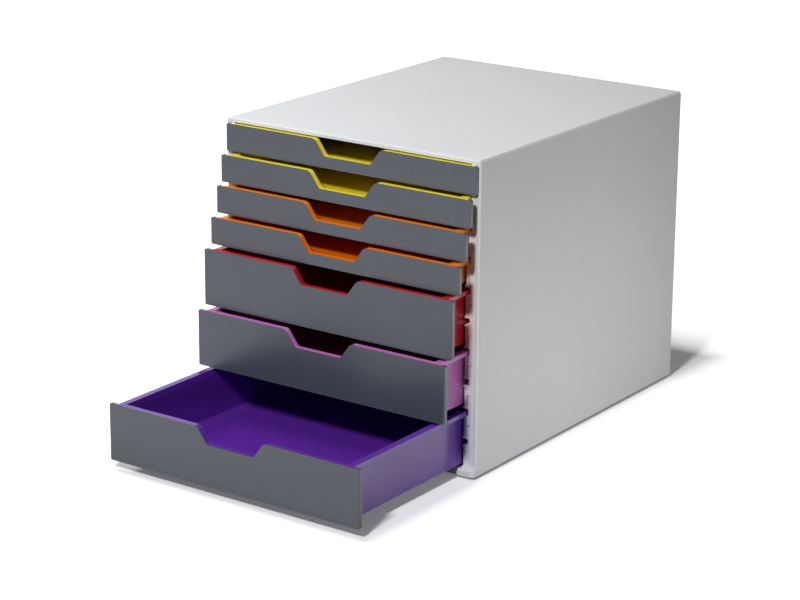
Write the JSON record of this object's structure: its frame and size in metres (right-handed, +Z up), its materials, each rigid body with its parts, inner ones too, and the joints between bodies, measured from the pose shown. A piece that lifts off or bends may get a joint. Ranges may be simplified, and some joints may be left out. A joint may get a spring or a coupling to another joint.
{
  "type": "desktop drawer unit",
  "caption": "Desktop drawer unit with a light grey casing, dark grey fronts with finger notches, and coloured trays that slide out on their rims.",
  "frame": {"origin": "on the table, under the middle of the whole unit with its drawers as they stand", "axes": "+Z up, -Y towards the user, which is the way the drawers open, +X to the right of somebody who looks along +Y at the fronts"},
  "size_m": [0.28, 0.523, 0.292],
  "materials": {
    "casing": "fine matte grain",
    "front_grey": "fine matte grain",
    "tray_yellow": "satin",
    "tray_orange": "satin",
    "tray_red": "satin",
    "tray_pink": "satin",
    "tray_purple": "satin",
    "foot_rubber": "matte",
    "screw_steel": "zinc plated"
  },
  "bodies": {
    "casing": {"outer_shell": "casing", "base_plate": "casing", "back_panel": "casing", "left_runner": "casing", "right_runner": "casing", "feet": "foot_rubber", "back_screws": "screw_steel", "base_screws": "screw_steel"},
    "drawer_1": {"shallow_tray_1": "tray_yellow", "shallow_front_1": "front_grey"},
    "drawer_2": {"shallow_tray_2": "tray_yellow", "shallow_front_2": "front_grey"},
    "drawer_3": {"shallow_tray_3": "tray_orange", "shallow_front_3": "front_grey"},
    "drawer_4": {"shallow_tray_4": "tray_orange", "shallow_front_4": "front_grey"},
    "drawer_5": {"deep_tray_5": "tray_red", "deep_front_5": "front_grey"},
    "drawer_6": {"deep_tray_6": "tray_pink", "deep_front_6": "front_grey"},
    "drawer_7": {"deep_tray_7": "tray_purple", "deep_front_7": "front_grey"}
  },
  "joints": [
    {"name": "drawer_1_slide", "type": "slide", "parent": "casing", "child": "drawer_1", "axis": [0, -1, 0], "range_m": [0, 0.235]},
    {"name": "drawer_2_slide", "type": "slide", "parent": "casing", "child": "drawer_2", "axis": [0, -1, 0], "range_m": [-0.008, 0.227]},
    {"name": "drawer_3_slide", "type": "slide", "parent": "casing", "child": "drawer_3", "axis": [0, -1, 0], "range_m": [-0.015, 0.22]},
    {"name": "drawer_4_slide", "type": "slide", "parent": "casing", "child": "drawer_4", "axis": [0, -1, 0], "range_m": [-0.024, 0.211]},
    {"name": "drawer_5_slide", "type": "slide", "parent": "casing", "child": "drawer_5", "axis": [0, -1, 0], "range_m": [-0.034, 0.201]},
    {"name": "drawer_6_slide", "type": "slide", "parent": "casing", "child": "drawer_6", "axis": [0, -1, 0], "range_m": [-0.044, 0.191]},
    {"name": "drawer_7_slide", "type": "slide", "parent": "casing", "child": "drawer_7", "axis": [0, -1, 0], "range_m": [-0.168, 0.067]}
  ]
}
